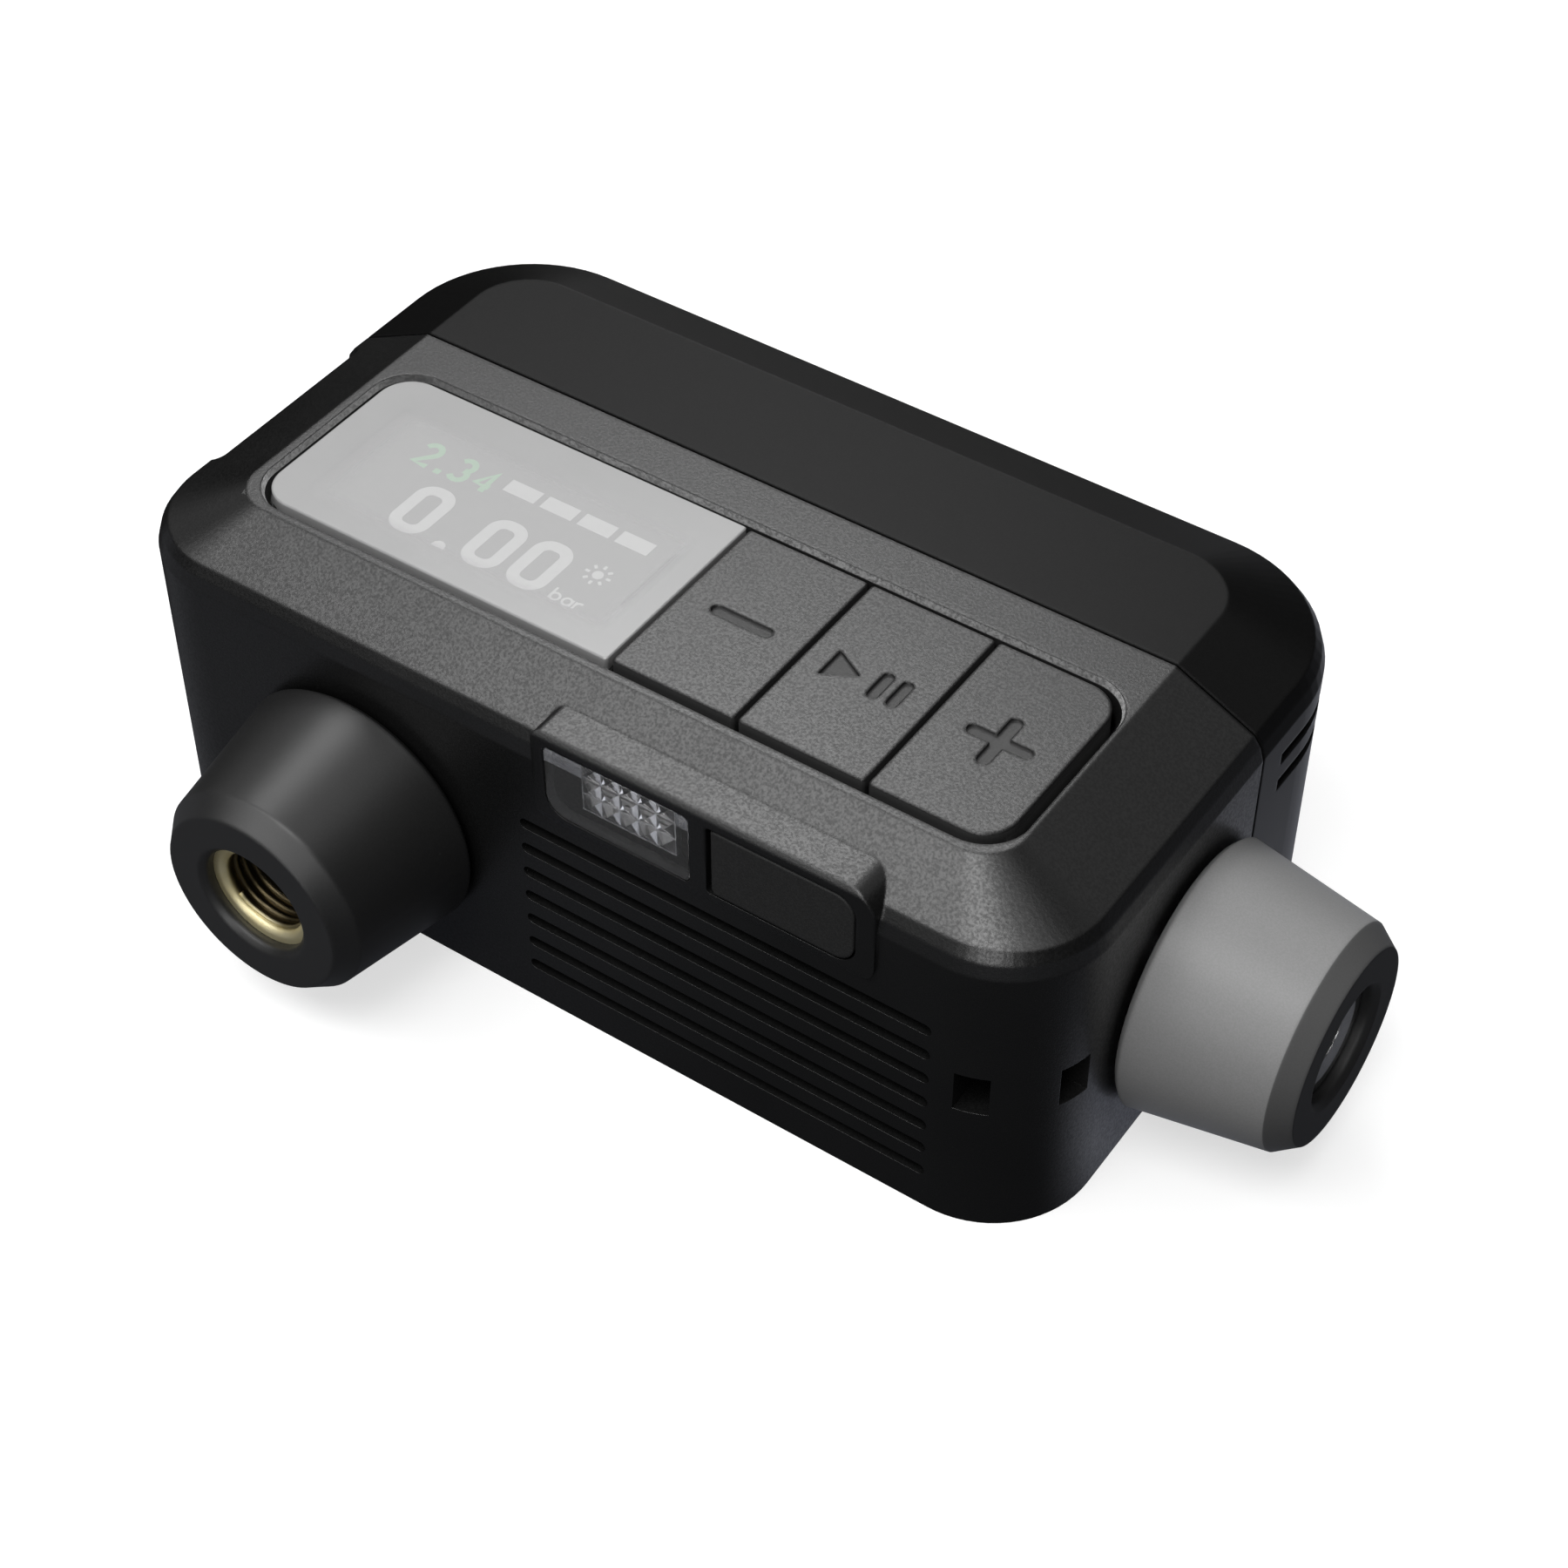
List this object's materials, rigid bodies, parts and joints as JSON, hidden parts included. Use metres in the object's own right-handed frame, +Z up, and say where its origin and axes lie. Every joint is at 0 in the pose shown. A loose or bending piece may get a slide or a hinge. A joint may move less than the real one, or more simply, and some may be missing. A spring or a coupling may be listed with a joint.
{
  "type": "portable tire inflator",
  "caption": "Pocket battery tyre inflator with display, buttons, lamp, charging port and two turning valve nozzles.",
  "frame": {"origin": "centre of the body's underside, midway between its ends and between the vented front and the back; the nozzles reach past it on two sides", "axes": "+X along the body's length, out of the side nozzle; -Y out of the vented front, where the front nozzle, lamp and port are; +Z up to the display"},
  "size_m": [0.102, 0.0648, 0.0334],
  "materials": {
    "textured_shell": "fine sand texture, dark grey",
    "smooth_shell": "smooth satin black",
    "button_grey": "fine satin grey",
    "display_glass": "smooth, lightly milky",
    "display_white": "smooth, pale grey",
    "clear_lens": "clear, moulded pyramids behind",
    "lamp_white": "white board with pale chips",
    "black_collar": "satin black",
    "grey_collar": "satin mid grey",
    "valve_brass": "turned, bright",
    "bright_steel": "turned and plated",
    "zinc_steel": "zinc plated",
    "black_rubber": "matt moulded rubber",
    "black_plastic": "plain moulding",
    "white_plastic": "plain natural acetal",
    "circuit_board": "green solder mask",
    "cell_wrap": "blue heat-shrink wrap",
    "magnet_grey": "sintered dark grey",
    "winding_copper": "enamelled copper",
    "lead_red": "insulated leads",
    "cast_aluminium": "die cast, fine grain"
  },
  "bodies": {
    "housing": {"front_shell": "textured_shell", "rear_shell": "smooth_shell", "shell_screws": "zinc_steel", "display_window": "display_glass", "display_module": "display_white", "main_board": "circuit_board", "board_screws": "zinc_steel", "button_switches": "bright_steel", "charging_port": "bright_steel", "pressure_sensor": "black_plastic", "lamp_lens": "clear_lens", "lamp_board": "lamp_white", "battery_cradle": "white_plastic", "battery_cell_lower": "cell_wrap", "battery_cell_upper": "cell_wrap", "motor_can": "zinc_steel", "motor_magnets": "magnet_grey", "motor_end_cap": "black_plastic", "motor_brushes": "magnet_grey", "motor_leads": "lead_red", "battery_leads": "lead_red", "motor_screws": "zinc_steel", "gear_bracket": "cast_aluminium", "gear_axle": "bright_steel", "pump_cylinder": "cast_aluminium", "head_gasket": "black_rubber", "valve_plate": "bright_steel", "cylinder_head": "cast_aluminium", "head_screws": "zinc_steel", "air_manifold": "black_plastic", "front_air_tube": "black_rubber", "side_air_tube": "black_rubber", "front_stem": "bright_steel", "side_stem": "bright_steel", "front_seal": "black_rubber", "side_seal": "black_rubber", "front_clip": "zinc_steel", "side_clip": "zinc_steel", "front_depressor": "valve_brass", "side_depressor": "bright_steel"},
    "minus_button": {"minus_button": "button_grey"},
    "play_button": {"play_button": "button_grey"},
    "plus_button": {"plus_button": "button_grey"},
    "flap": {"port_flap": "black_rubber"},
    "front_nozzle": {"front_collar": "black_collar", "front_insert": "valve_brass"},
    "side_nozzle": {"side_collar": "grey_collar", "side_insert": "bright_steel"},
    "armature": {"motor_rotor": "winding_copper", "commutator": "winding_copper", "motor_shaft": "bright_steel", "pinion": "valve_brass"},
    "crank": {"crank_gear": "white_plastic"},
    "piston": {"piston": "cast_aluminium", "piston_cup": "black_rubber", "wrist_pin": "bright_steel"},
    "rod": {"con_rod": "cast_aluminium", "crank_pin": "bright_steel"}
  },
  "joints": [
    {"name": "minus_press", "type": "slide", "parent": "housing", "child": "minus_button", "axis": [0, 0, -1], "range_m": [0, 0.0004], "stiffness_N_per_m": 1000, "springref_m": -0.0002},
    {"name": "play_press", "type": "slide", "parent": "housing", "child": "play_button", "axis": [0, 0, -1], "range_m": [0, 0.0004], "stiffness_N_per_m": 1000, "springref_m": -0.0002},
    {"name": "plus_press", "type": "slide", "parent": "housing", "child": "plus_button", "axis": [0, 0, -1], "range_m": [0, 0.0004], "stiffness_N_per_m": 1000, "springref_m": -0.0002},
    {"name": "flap_hinge", "type": "hinge", "parent": "housing", "child": "flap", "pos_m": [0.01555, -0.0253, 0.02695], "axis": [0, 0, -1], "range_deg": [0, 110]},
    {"name": "front_nozzle_turn", "type": "hinge", "parent": "housing", "child": "front_nozzle", "pos_m": [-0.0192, -0.0254, 0.0134], "axis": [0, -1, 0], "continuous": true},
    {"name": "side_nozzle_turn", "type": "hinge", "parent": "housing", "child": "side_nozzle", "pos_m": [0.044, -0.0039, 0.0134], "axis": [1, 0, 0], "continuous": true},
    {"name": "armature_turn", "type": "hinge", "parent": "housing", "child": "armature", "pos_m": [-0.02, 0.011, 0.0134], "axis": [1, 0, 0], "continuous": true},
    {"name": "crank_turn", "type": "hinge", "parent": "housing", "child": "crank", "pos_m": [-0.0105, 0.0014, 0.0134], "axis": [1, 0, 0], "continuous": true},
    {"name": "piston_stroke", "type": "slide", "parent": "housing", "child": "piston", "axis": [0, 1, 0], "range_m": [0, 0.0064]},
    {"name": "rod_swing", "type": "hinge", "parent": "piston", "child": "rod", "pos_m": [-0.0048, -0.0147, 0.0134], "axis": [1, 0, 0], "range_deg": [-14.36, 14.36]}
  ],
  "couplings": [
    {"joint": "crank_turn", "follows": "armature_turn", "ratio": -0.33333}
  ]
}
